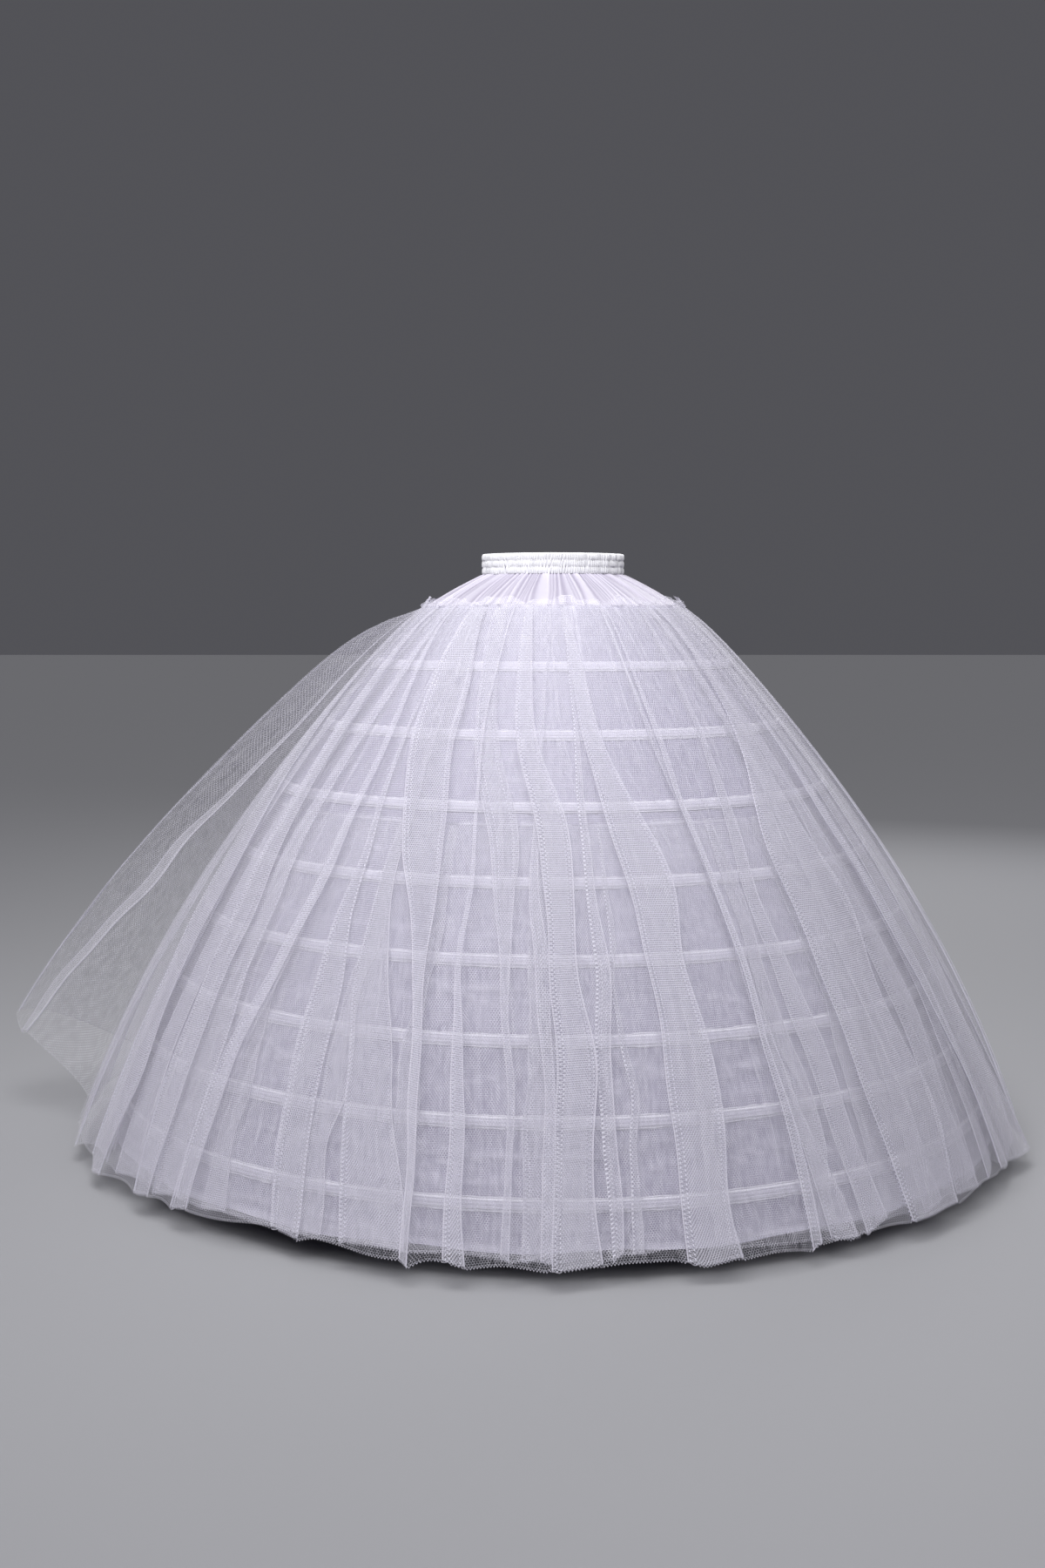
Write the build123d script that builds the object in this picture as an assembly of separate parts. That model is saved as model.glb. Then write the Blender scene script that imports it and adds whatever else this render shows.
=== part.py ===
"""Hooped crinoline petticoat: elastic waist, gathered yoke, gored lining, eight boned hoops and three tulle layers.

Frame: origin at the centre of the waist opening, on the waistband's top edge. +Z is up, -Y is the wearer's front.
All sizes are millimetres. A depth is measured down from the waistband's top edge, so a point's z is minus its depth.
"""

from build123d import *
import math
import os

# Waist, worn on a body with an oval section
waist_half_width = 120.0
waist_half_depth = 94.0
waistband_height = 35.0
waistband_cloth = 0.5
elastic_height = 28.0
elastic_thickness = 1.6
elastic_clearance = 0.5
yoke_allowance = 5.0

# Bell of the lining, from the hip seam to the hem
hip_depth = 92.0
hip_radius = 226.5
hem_depth = 980.0
hem_radius = 780.0
bell_fullness = 279.0
lining_thickness = 0.7
gore_count = 6
gore_seam_azimuth = -83.0
yoke_thickness = 1.1

# Hoops: coated flat steel in sewn tape casings
hoop_count = 8
first_hoop_depth = 190.0
last_hoop_depth = 920.0
bone_height = 10.0
bone_thickness = 1.2
bone_end_gap = 2.0
joiner_length = 40.0
joiner_wall = 0.4
joiner_clearance = 0.1
first_joiner_azimuth = 90.0
joiner_step_azimuth = 15.0
casing_flange = 3.0
casing_cloth = 0.4
casing_slope_run = 0.8
casing_clearance = 0.15
casing_end_gap = 6.0
casing_end_azimuth = 84.0

# Tulle: how far each layer stands off the lining, at its gathered top and at its hem
tulle_thickness = 0.4
seam_gap = 0.3
flounce_top_below_hoop = 3
flounce_hem_depth = 984.0
flounce_hem_standoff = 24.0
inner_overlay_hem_depth = 988.0
inner_overlay_hem_standoff = 33.0
outer_overlay_hem_depth = 992.0
outer_overlay_hem_standoff = 42.0
overlay_top_drop = 2.0
overlay_seam_gap = 2.0
overlay_seam_azimuth = 90.0

# The outer overlay's flute, thrown out on the wearer's right
flute_azimuth = 172.0
flute_half_angle = 15.0
flute_top_reach = 70.0
flute_hem_reach = 166.0
flute_top_run = 0.06
flute_hem_lift = 130.0
overlay_columns = 120
overlay_rows = 14

nudge = 0.1


def bell_radius(depth):
    """Outside radius of the lining at a depth."""
    share = (depth - hip_depth) / (hem_depth - hip_depth)
    return hip_radius + (hem_radius - hip_radius) * share + bell_fullness * share * (1 - share)


def bell_slope(depth):
    """How fast that radius grows with depth."""
    run = hem_depth - hip_depth
    share = (depth - hip_depth) / run
    return (hem_radius - hip_radius + bell_fullness * (1 - 2 * share)) / run


def hoop_depth(hoop):
    """Depth of a hoop's middle, hoops counted from 1 at the top."""
    return first_hoop_depth + (hoop - 1) * (last_hoop_depth - first_hoop_depth) / (hoop_count - 1)


def standoff(top_offset, bottom_offset, share):
    """How far a layer stands off the bell: it spreads quickly below its top and slowly towards its hem."""
    return bottom_offset + (top_offset - bottom_offset) * (1 - share) ** 2


def meridian(top_depth, bottom_depth, top_offset, bottom_offset):
    """The bell's outline between two depths, moved outwards by the standoff."""
    half_run = (bottom_depth - top_depth) / 2
    top = (bell_radius(top_depth) + top_offset, 0, -top_depth)
    middle_radius = bell_radius(top_depth) + bell_slope(top_depth) * half_run + bottom_offset
    middle = (middle_radius, 0, -top_depth - half_run)
    bottom = (bell_radius(bottom_depth) + bottom_offset, 0, -bottom_depth)
    return Bezier(top, middle, bottom)


def bell_shell(top_depth, bottom_depth, top_offset, bottom_offset, thickness, arc=360.0):
    """A shell of revolution that follows the bell, its inside face at the offsets given."""
    inside = meridian(top_depth, bottom_depth, top_offset, bottom_offset)
    outside = meridian(top_depth, bottom_depth, top_offset + thickness, bottom_offset + thickness)
    ends = [Line(inside @ 0, outside @ 0), Line(inside @ 1, outside @ 1)]
    return revolve(make_face([inside, outside, *ends]), Axis.Z, arc)


def band_section(points, hoop):
    """A section drawn as (along the slope, out from the lining), seated on the lining at a hoop."""
    depth = hoop_depth(hoop)
    lean = math.atan(bell_slope(depth))
    along = Vector(math.sin(lean), 0, -math.cos(lean))
    out = Vector(math.cos(lean), 0, math.sin(lean))
    seat = Vector(bell_radius(depth), 0, -depth)
    return make_face(Polyline(*[seat + along * s + out * n for s, n in points], close=True))


def rectangle(half_height, low, high):
    return [(-half_height, low), (half_height, low), (half_height, high), (-half_height, high)]


# What the channel of a casing has to hold, measured out from the lining
joiner_thickness = bone_thickness + 2 * (joiner_clearance + joiner_wall)
joiner_half_height = bone_height / 2 + joiner_clearance + joiner_wall
channel_base = nudge
bone_middle = channel_base + casing_clearance + joiner_thickness / 2
channel_top = bone_middle + joiner_thickness / 2 + casing_clearance
channel_half_height = joiner_half_height + 2 * casing_clearance + casing_slope_run
casing_half_height = channel_half_height + casing_flange
casing_stand = channel_top + casing_cloth

# The waistband's folded wall
waist_channel = elastic_thickness + 2 * elastic_clearance
waistband_wall = 2 * waistband_cloth + waist_channel


def oval(offset):
    """The waist's section, moved outwards."""
    return Ellipse(waist_half_width + offset, waist_half_depth + offset)


def oval_ring(inner_offset, outer_offset, top_depth, bottom_depth):
    ring = oval(outer_offset) - oval(inner_offset)
    return extrude(Pos(0, 0, -bottom_depth) * ring, bottom_depth - top_depth)


def waistband_casing():
    """A strip folded over the elastic, open along its lower edge where the yoke is sewn in."""
    folded = oval_ring(0, waistband_wall, 0, waistband_height)
    channel = oval_ring(
        waistband_cloth, waistband_wall - waistband_cloth, waistband_cloth, waistband_height + nudge
    )
    return folded - channel


def waist_elastic():
    inner = waistband_cloth + elastic_clearance
    top = waistband_cloth + elastic_clearance
    return oval_ring(inner, inner + elastic_thickness, top, top + elastic_height)


def yoke():
    """The gathered funnel from the waistband to the hip seam, with its allowance up inside the band."""
    middle = waistband_cloth + waist_channel / 2
    inner = middle - lining_thickness / 2
    outer = middle + lining_thickness / 2
    top = waistband_height - yoke_allowance
    bend = waistband_height + elastic_clearance
    allowance = oval_ring(inner, outer, top, bend)
    funnel_outside = loft([Pos(0, 0, -bend) * oval(outer), Pos(0, 0, -hip_depth) * Circle(hip_radius)])
    funnel_inside = loft(
        [
            Pos(0, 0, -bend) * oval(outer - yoke_thickness),
            Pos(0, 0, -hip_depth) * Circle(hip_radius - yoke_thickness),
        ]
    )
    return allowance + (funnel_outside - funnel_inside)


def lining_gore(gore):
    """One of the flared panels that are sewn edge to edge into the lining."""
    arc = 360.0 / gore_count
    panel = bell_shell(hip_depth, hem_depth, -lining_thickness, -lining_thickness, lining_thickness, arc)
    return Rot(0, 0, gore_seam_azimuth + arc * (gore - 1)) * panel


def degrees_along(length, hoop):
    return math.degrees(length / bell_radius(hoop_depth(hoop)))


def joiner_azimuth(hoop):
    """The joints of neighbouring hoops are set apart, so that they don't stiffen one line."""
    return first_joiner_azimuth + joiner_step_azimuth * (hoop % 3 - 1)


def hoop_bone(hoop):
    """Flat spring steel, bent round until its two ends almost meet."""
    low = bone_middle - bone_thickness / 2
    section = band_section(rectangle(bone_height / 2, low, low + bone_thickness), hoop)
    gap = degrees_along(bone_end_gap, hoop)
    return Rot(0, 0, joiner_azimuth(hoop) + gap / 2) * revolve(section, Axis.Z, 360 - gap)


def hoop_joiner(hoop):
    """The flat sleeve that both ends of a hoop push into."""
    outside = rectangle(joiner_half_height, bone_middle - joiner_thickness / 2, bone_middle + joiner_thickness / 2)
    bore = joiner_thickness / 2 - joiner_wall
    inside = rectangle(joiner_half_height - joiner_wall, bone_middle - bore, bone_middle + bore)
    arc = degrees_along(joiner_length, hoop)
    sleeve = revolve(band_section(outside, hoop), Axis.Z, arc) - revolve(band_section(inside, hoop), Axis.Z, arc)
    return Rot(0, 0, joiner_azimuth(hoop) - arc / 2) * sleeve


def hoop_casing(hoop):
    """A tape sewn down along both edges, raised between them over the hoop."""
    foot = casing_half_height
    wall = channel_half_height
    crown = channel_half_height - casing_slope_run
    under = [(-wall, channel_base), (-crown, channel_top), (crown, channel_top), (wall, channel_base)]
    over = [
        (foot, channel_base),
        (foot, channel_base + casing_cloth),
        (wall + casing_cloth, channel_base + casing_cloth),
        (crown + casing_cloth, casing_stand),
        (-crown - casing_cloth, casing_stand),
        (-wall - casing_cloth, channel_base + casing_cloth),
        (-foot, channel_base + casing_cloth),
        (-foot, channel_base),
    ]
    gap = degrees_along(casing_end_gap, hoop)
    tape = revolve(band_section(under + over, hoop), Axis.Z, 360 - gap)
    return Rot(0, 0, casing_end_azimuth + gap / 2) * tape


def tulle_flounce():
    """The lower tulle layer, gathered under the third hoop's casing."""
    seat = hoop_depth(flounce_top_below_hoop)
    top = seat + casing_half_height * math.cos(math.atan(bell_slope(seat))) + seam_gap
    return bell_shell(top, flounce_hem_depth, seam_gap, flounce_hem_standoff, tulle_thickness)


def tulle_overlay_inner():
    """The upper tulle's under layer, from the hip seam to the hem."""
    top = hip_depth + overlay_top_drop
    return bell_shell(top, inner_overlay_hem_depth, seam_gap, inner_overlay_hem_standoff, tulle_thickness)


def outer_overlay_point(azimuth, share, offset):
    """A point of the outer overlay: the bell's outline, and the flute that swings out and up."""
    top_depth = hip_depth + overlay_top_drop
    top_offset = 2 * seam_gap + tulle_thickness
    depth = top_depth + (outer_overlay_hem_depth - top_depth) * share
    radius = bell_radius(depth) + standoff(top_offset, outer_overlay_hem_standoff, share)
    off_ridge = abs((azimuth - flute_azimuth + 180) % 360 - 180) / flute_half_angle
    ridge = math.cos(math.pi / 2 * min(off_ridge, 1)) ** 2
    reach = flute_top_reach * (1 - math.exp(-share / flute_top_run))
    reach += (flute_hem_reach - flute_top_reach) * share
    radius += ridge * reach + offset
    height = -depth + ridge * flute_hem_lift * share**1.5
    turn = math.radians(azimuth)
    return Vector(radius * math.cos(turn), radius * math.sin(turn), height)


def outer_overlay_face(offset):
    """One face of the outer overlay's sheet, its edges together at the back."""
    edge = math.degrees(overlay_seam_gap / 2 / outer_overlay_hem_depth)
    start = overlay_seam_azimuth + edge
    step = (360 - 2 * edge) / overlay_columns
    rows = range(overlay_rows + 1)
    columns = range(overlay_columns + 1)
    grid = [[outer_overlay_point(start + step * c, r / overlay_rows, offset) for r in rows] for c in columns]
    return Face.make_surface_from_array_of_points(grid)


def tulle_overlay_outer():
    """The upper tulle's outer layer: an inside face and an outside face, closed along their four edges."""
    inside = outer_overlay_face(0)
    outside = outer_overlay_face(tulle_thickness)
    rims = []
    for edge in inside.edges():
        partner = outside.edges().sort_by_distance(edge.center())[0]
        rims.append(Face.make_surface_from_curves(edge, partner))
    return Solid(Shell([inside, outside, *rims]))


def write(name, shape):
    shape.label = name
    export_step(shape, f"parts/{name}.step")


os.makedirs("parts", exist_ok=True)
write("waistband_casing", waistband_casing())
write("waist_elastic", waist_elastic())
write("yoke", yoke())
for gore in range(1, gore_count + 1):
    write(f"lining_gore_{gore}", lining_gore(gore))
for hoop in range(1, hoop_count + 1):
    write(f"hoop_bone_{hoop}", hoop_bone(hoop))
    write(f"hoop_joiner_{hoop}", hoop_joiner(hoop))
    write(f"hoop_casing_{hoop}", hoop_casing(hoop))
write("tulle_flounce", tulle_flounce())
write("tulle_overlay_inner", tulle_overlay_inner())
write("tulle_overlay_outer", tulle_overlay_outer())
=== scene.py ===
# %% [markdown]
# # A hooped crinoline petticoat
# The CAD model gives the true sizes: a bell of lining on eight boned hoops, hung from an elastic waist.
# Here each soft part gets its cloth. Three layers of tulle hang over a taffeta lining, so most of this
# lesson is about thin sheets that fold over themselves and let the layer below show through. All lengths
# are in metres.

# %% The frame and the tools
import math

import bpy
import numpy as np
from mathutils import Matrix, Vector


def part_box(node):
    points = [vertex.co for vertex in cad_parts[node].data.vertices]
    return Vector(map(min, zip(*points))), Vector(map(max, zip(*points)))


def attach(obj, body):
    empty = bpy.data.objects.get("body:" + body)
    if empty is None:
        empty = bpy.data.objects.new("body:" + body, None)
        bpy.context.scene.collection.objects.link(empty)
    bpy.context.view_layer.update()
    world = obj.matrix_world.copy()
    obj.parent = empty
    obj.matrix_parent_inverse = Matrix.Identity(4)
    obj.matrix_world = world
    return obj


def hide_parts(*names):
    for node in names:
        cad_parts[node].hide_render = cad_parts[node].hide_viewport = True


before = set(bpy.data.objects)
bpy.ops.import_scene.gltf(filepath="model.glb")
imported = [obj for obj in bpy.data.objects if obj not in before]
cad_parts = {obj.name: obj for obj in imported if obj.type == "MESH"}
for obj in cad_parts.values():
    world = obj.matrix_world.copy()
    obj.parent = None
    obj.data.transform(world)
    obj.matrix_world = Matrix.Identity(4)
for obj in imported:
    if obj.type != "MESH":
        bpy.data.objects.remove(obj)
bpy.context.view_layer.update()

# %% [markdown]
# ## Sizes
# The bell's outline is read off the CAD parts, so the cloth can't drift away from the hoops that carry it.
# A depth is measured down from the waistband's top edge, and a bearing goes round from centre front,
# positive towards the wearer's left.

# %% The bell that everything hangs on
HOOPS = 8
GORES = 6
HIP_DEPTH = -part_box("yoke")[0].z
HIP_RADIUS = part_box("yoke")[1].x
HEM_DEPTH = -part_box("lining_gore_1")[0].z
HEM_RADIUS = max(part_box(f"lining_gore_{g + 1}")[1].x for g in range(GORES))
BELL_FULLNESS = 0.279  # how far the bell's side swells past a straight cone
WAIST_BOTTOM = -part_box("waistband_casing")[0].z
WAIST_OUTER = Vector((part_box("waistband_casing")[1].x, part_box("waistband_casing")[1].y))
HOOP_DEPTHS = [-sum(c.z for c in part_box(f"hoop_casing_{h + 1}")) / 2 for h in range(HOOPS)]
FRONT = -math.pi / 2


def bell_radius(depth):
    share = (depth - HIP_DEPTH) / (HEM_DEPTH - HIP_DEPTH)
    return HIP_RADIUS + (HEM_RADIUS - HIP_RADIUS) * share + BELL_FULLNESS * share * (1 - share)


def bell_lean(depth):
    """The angle of the bell's side from the vertical."""
    share = (depth - HIP_DEPTH) / (HEM_DEPTH - HIP_DEPTH)
    rise = (HEM_RADIUS - HIP_RADIUS + BELL_FULLNESS * (1 - 2 * share)) / (HEM_DEPTH - HIP_DEPTH)
    return np.arctan(rise)


print("hip", round(HIP_DEPTH, 4), round(HIP_RADIUS, 4), "hem", round(HEM_DEPTH, 4), round(HEM_RADIUS, 4))
print("hoop depths", [round(d, 3) for d in HOOP_DEPTHS])

# %% [markdown]
# ## Cloth as a grid of points
# A sheet of cloth is a grid: columns run along its width and rows along its length. Folding it means only
# moving columns, so one small function turns any grid of points into a mesh. The texture coordinates are
# the cloth's own flat sizes in metres, so that a weave keeps its scale however the cloth is folded.
#
# A cloth simulation could drape the layers. It would let every fold fall where it likes, and three gathered
# nets are slow to settle, so here the folds in front are placed where the real ones lie.

# %% Even shading for thin net
OUTWARD_RISE = 0.5  # straight out from the bell also means a little upwards, as the bell's side leans
OUTWARD_REACH = 0.85


def even_normals(points, share_outward):
    """One normal for each face's corners, turned part of the way to straight out from the bell.

    Net scatters light from both its faces, so a fold's steep edge is nearly as bright as its flat. A plain
    surface normal would turn that edge dark.
    """
    across = points[:-1, 1:] - points[:-1, :-1]
    down = points[1:, 1:] - points[:-1, :-1]
    face = np.cross(across, down)
    face /= np.maximum(np.linalg.norm(face, axis=-1, keepdims=True), 1e-12)
    out = points[:-1, :-1] * [1, 1, 0]
    out = out / np.linalg.norm(out, axis=-1, keepdims=True) * OUTWARD_REACH + [0, 0, OUTWARD_RISE]
    agree = np.sum(face * out, -1, keepdims=True)
    turned = share_outward * np.minimum(np.abs(agree) * 1.6, 1)
    normal = face * (1 - turned) + np.sign(agree) * out * turned
    length = np.linalg.norm(normal, axis=-1, keepdims=True)
    normal = np.where(length > 1e-6, normal / np.maximum(length, 1e-6), out)
    return np.repeat(normal.reshape(-1, 3), 4, axis=0)


print("net is shaded", OUTWARD_REACH, "outwards and", OUTWARD_RISE, "upwards")

# %% A grid of points to a mesh


def cloth_mesh(name, points, across, up, marks, material, closed=False, evened=0.0):
    """Rows and columns of points as one piece of cloth, with its flat coordinates and the marks for its look."""
    rows, columns = points.shape[:2]
    mesh = bpy.data.meshes.new(name)
    mesh.vertices.add(rows * columns)
    mesh.vertices.foreach_set("co", points.reshape(-1).astype(np.float32))
    spans = columns if closed else columns - 1
    r, c = np.meshgrid(np.arange(rows - 1), np.arange(spans), indexing="ij")
    beyond = (c + 1) % columns
    upper, lower = r * columns, (r + 1) * columns
    corners = np.stack([upper + c, upper + beyond, lower + beyond, lower + c], -1).reshape(-1, 4)
    mesh.loops.add(corners.size)
    mesh.loops.foreach_set("vertex_index", corners.reshape(-1).astype(np.int32))
    mesh.polygons.add(len(corners))
    mesh.polygons.foreach_set("loop_start", np.arange(0, corners.size, 4, dtype=np.int32))
    mesh.polygons.foreach_set("use_smooth", np.ones(len(corners), bool))
    flat = np.stack([across, up], -1)
    past_the_join = flat[:, :1].copy()
    past_the_join[:, 0, 0] = flat[:, -1, 0] * 2 - flat[:, -2, 0]
    flat = np.concatenate([flat, past_the_join], 1)
    uv = np.stack([flat[r, c], flat[r, c + 1], flat[r + 1, c + 1], flat[r + 1, c]], 2)
    mesh.uv_layers.new(name="cloth").data.foreach_set("uv", uv.reshape(-1).astype(np.float32))
    for mark, values in marks.items():
        layer = mesh.attributes.new(mark, "FLOAT", "POINT")
        spread = np.broadcast_to(values, (rows, columns)).reshape(-1)
        layer.data.foreach_set("value", spread.astype(np.float32))
    mesh.materials.append(material)
    mesh.update(calc_edges=True)
    mesh.validate()
    if evened and len(mesh.loops) == corners.size:
        mesh.normals_split_custom_set(even_normals(points, evened))
    piece = bpy.data.objects.new(name, mesh)
    bpy.context.scene.collection.objects.link(piece)
    return piece


# %% Places and areas


def cloth_area(piece):
    return sum(face.area for face in piece.data.polygons)


def around(bearing, radius, depth):
    """Points at a bearing in degrees, a radius and a depth, as x, y and z."""
    angle, radius, depth = np.broadcast_arrays(FRONT + np.radians(bearing), radius, depth)
    return np.stack([radius * np.cos(angle), radius * np.sin(angle), -depth], -1)


print("centre front of the hem", around(0.0, HEM_RADIUS, HEM_DEPTH).round(3))

# %% [markdown]
# ## Materials
# Each colour is written as an sRGB hex value, as a designer would read it off a swatch, and one function
# turns it into the linear value that the shader wants. One more function adds a node with its settings and
# its links.

# %% Colour and node helpers


def linear(hex_colour):
    channels = [int(hex_colour[i : i + 2], 16) / 255 for i in (1, 3, 5)]
    return [c / 12.92 if c <= 0.04045 else ((c + 0.055) / 1.055) ** 2.4 for c in channels] + [1.0]


def add(tree, kind, inputs=(), **settings):
    """Adds one node. inputs holds (socket, value or another node's output)."""
    node = tree.nodes.new(kind)
    for key, value in settings.items():
        setattr(node, key, value)
    for socket, value in inputs:
        if isinstance(value, bpy.types.NodeSocket):
            tree.links.new(value, node.inputs[socket])
        else:
            node.inputs[socket].default_value = value
    return node


def new_material(name, roughness, sheen=0.0):
    material = bpy.data.materials.new(name)
    material.use_nodes = True
    shader = material.node_tree.nodes["Principled BSDF"]
    shader.inputs["Roughness"].default_value = roughness
    shader.inputs["Sheen Weight"].default_value = sheen
    shader.inputs["Sheen Roughness"].default_value = 0.4
    return material, material.node_tree, shader


def maths(tree, operation, *values, clamp=False):
    inputs = list(enumerate(values))
    return add(tree, "ShaderNodeMath", inputs, operation=operation, use_clamp=clamp).outputs[0]


def vector_maths(tree, operation, *values):
    return add(tree, "ShaderNodeVectorMath", list(enumerate(values)), operation=operation).outputs[0]


def mark(tree, name):
    """A look that was marked on the mesh, from 0 to 1."""
    return add(tree, "ShaderNodeAttribute", attribute_name=name).outputs["Fac"]


def cloth_point(tree, scale):
    """The flat cloth's coordinates, with one unit for each stretch of scale metres."""
    uv = add(tree, "ShaderNodeUVMap", uv_map="cloth").outputs[0]
    per_unit = (1 / scale[0], 1 / scale[1], 1)
    return add(tree, "ShaderNodeMapping", [("Vector", uv), ("Scale", per_unit)]).outputs[0]


def noise(tree, scale, detail=2.0):
    """Soft noise from 0 to 1, with blotches as large as scale on the flat cloth."""
    inputs = [("Vector", cloth_point(tree, scale)), ("Scale", 1.0), ("Detail", detail)]
    return add(tree, "ShaderNodeTexNoise", inputs).outputs["Fac"]


def tint(tree, factor, dark, light):
    mix = add(tree, "ShaderNodeMix", [(0, factor), (6, linear(dark)), (7, linear(light))], data_type="RGBA")
    return mix.outputs[2]


print("a white swatch is", [round(c, 3) for c in linear("#F1EFFA")])

# %% [markdown]
# ### Nylon tulle
# Tulle is a warp-knitted net of six-sided holes about 1.5 mm across, in nylon yarn finer than a hair. One
# layer covers about a sixth of what is behind it, so it is drawn as an opacity: solid yarn, open holes. The
# net is drawn at 4 mm, coarser than it is, because a real one would turn into noise. Modelling every thread
# would take millions of faces. Where a fold turns over, the eye looks along the net and sees a bright line,
# and where the cloth is gathered its layers add up, so both are marked on the mesh and raise the opacity.
# The raw hem is cut with pinking shears, and the zigzag is cut out of the opacity too.

# %% The net's holes
NET_CELL = 0.0040


def hexagon_net(tree, thread):
    """1 on the yarn of a net of hexagons and 0 in its holes."""
    ratio = math.sqrt(3)
    point = cloth_point(tree, (NET_CELL, NET_CELL))
    size = (1.0, ratio, 1.0)
    half = (0.5, ratio / 2, 0.5)
    first = vector_maths(tree, "SUBTRACT", vector_maths(tree, "MODULO", point, size), half)
    shifted = vector_maths(tree, "ADD", point, half)
    second = vector_maths(tree, "SUBTRACT", vector_maths(tree, "MODULO", shifted, size), half)
    nearness = []
    for cell in (first, second):
        parts = add(tree, "ShaderNodeSeparateXYZ", [(0, vector_maths(tree, "ABSOLUTE", cell))]).outputs
        half_across = maths(tree, "MULTIPLY", parts[0], 0.5)
        slant = maths(tree, "ADD", half_across, maths(tree, "MULTIPLY", parts[1], ratio / 2))
        nearness.append(maths(tree, "MAXIMUM", parts[0], slant))
    return maths(tree, "GREATER_THAN", maths(tree, "MINIMUM", *nearness), 0.5 - thread)


print("net cell", NET_CELL * 1000, "mm")

# %% Nylon tulle, knitted and cut
PINK_PITCH = 0.0048
PINK_HEIGHT = 0.0040
CUT_WIDTH = 0.0018
YARN_COVER = 0.65  # the yarn itself is a little clear
CREASE_COVER = 0.72
RAW_EDGE_COVER = 0.35


def zigzag_hem(tree):
    """The cloth that is left above the pinked cut, and the thin raw edge along it."""
    place = add(tree, "ShaderNodeSeparateXYZ", [(0, cloth_point(tree, (1, 1)))]).outputs
    zigzag = maths(tree, "PINGPONG", place[0], PINK_PITCH / 2)
    tooth = maths(tree, "MULTIPLY", zigzag, 2 * PINK_HEIGHT / PINK_PITCH)
    above_cut = maths(tree, "SUBTRACT", place[1], tooth)
    kept = maths(tree, "GREATER_THAN", above_cut, 0.0)
    return kept, maths(tree, "MULTIPLY", maths(tree, "LESS_THAN", above_cut, CUT_WIDTH), RAW_EDGE_COVER)


def nylon_tulle(name, colour, shade, thread=0.042, veil=0.05):
    """thread is half the yarn's width as a share of a cell, and veil the fuzz that fills the holes."""
    material, tree, shader = new_material(name, roughness=0.8, sheen=0.3)
    streaks = noise(tree, (0.006, 0.028), 2.0)
    pulled = noise(tree, (0.012, 0.55), 1.0)
    tree.links.new(tint(tree, streaks, shade, colour), shader.inputs["Base Color"])
    yarn = maths(tree, "MULTIPLY", hexagon_net(tree, thread), YARN_COVER)
    uneven = maths(tree, "ADD", maths(tree, "MULTIPLY", streaks, 2.1), -0.1)
    net = maths(tree, "MULTIPLY", maths(tree, "ADD", yarn, veil), uneven)
    lines = maths(tree, "MULTIPLY", maths(tree, "SUBTRACT", pulled, 0.60), 0.5, clamp=True)
    layers = maths(tree, "ADD", mark(tree, "gather"), 1.0)
    dense = maths(tree, "MULTIPLY", maths(tree, "ADD", net, lines), layers)
    kept, raw_edge = zigzag_hem(tree)
    turned = maths(tree, "MULTIPLY", mark(tree, "crease"), CREASE_COVER)
    cover = maths(tree, "MAXIMUM", dense, maths(tree, "MAXIMUM", turned, raw_edge), clamp=True)
    tree.links.new(maths(tree, "MULTIPLY", cover, kept), shader.inputs["Alpha"])
    return material


overlay_tulle = nylon_tulle("warp_knitted_nylon_tulle", "#F1EFFA", "#D9D6E6")
print("tulle", overlay_tulle.name)

# %% [markdown]
# ### Polyester taffeta, cotton and tape
# The lining is a plain-woven filament taffeta: smooth, with a soft sheen and very fine ribs. It is coloured
# darker than the same taffeta on the yoke, as painted shade for the dim bell under the tulle. Casings and
# waistband are duller and whiter. Threads lie about 0.1 mm apart, finer than a render shows, so they are drawn
# at over 1 mm as a trace of bump. Wrinkles, sewn layers and pleats catch the light on their edges. Their shapes
# are in the mesh, and each is also marked there for a second colour, which paints that light and shade: a
# painted highlight on the lining's wrinkles, seam lip and rolled hem, painted highlight and shade on the casing
# tape, and painted shade in the valleys between the yoke's gathers.

# %% Woven cloth


def woven(name, dark, light, roughness, sheen, thread, blotch=0.05, relief=0.25):
    material, tree, shader = new_material(name, roughness, sheen)
    soft = noise(tree, (blotch, blotch * 0.6), 3.0)
    tree.links.new(tint(tree, soft, dark, light), shader.inputs["Base Color"])
    weave = noise(tree, (thread, thread * 3), 1.0)
    bump = add(tree, "ShaderNodeBump", [("Height", weave), ("Strength", relief), ("Distance", 0.0004)])
    tree.links.new(bump.outputs[0], shader.inputs["Normal"])
    return material, tree, shader


def second_colour(cloth, name, hex_colour, cloth_keeps_mark=False):
    """Lets a second colour show where the mesh is marked, or everywhere else if the cloth keeps the mark."""
    material, tree, shader = cloth
    own, other = (7, 6) if cloth_keeps_mark else (6, 7)
    base = shader.inputs["Base Color"].links[0].from_socket
    sockets = [(0, mark(tree, name)), (own, base), (other, linear(hex_colour))]
    mix = add(tree, "ShaderNodeMix", sockets, data_type="RGBA")
    tree.links.new(mix.outputs[2], shader.inputs["Base Color"])
    return material


print("weave helpers ready")

# %% Taffeta, tape and cotton
# The lining is coloured darker than the same taffeta on the yoke: painted shade for the dim bell under the
# tulle.
smooth_taffeta = woven("polyester_taffeta_lining", "#9C97AF", "#A8A3BA", 0.5, 0.25, 0.0012)
# The lighter #DAD7E6 follows the lining's wrinkle mark as a painted highlight.
lining_taffeta = second_colour(smooth_taffeta, "wrinkle_highlight", "#DAD7E6")
pleated_taffeta = woven("polyester_taffeta_yoke", "#BFBAC9", "#CAC6D3", 0.5, 0.25, 0.0012)
# The dark #8F889D is painted shade in the valleys between the gathers, where the ridge mark is low.
yoke_taffeta = second_colour(pleated_taffeta, "ridge", "#8F889D", cloth_keeps_mark=True)
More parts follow.
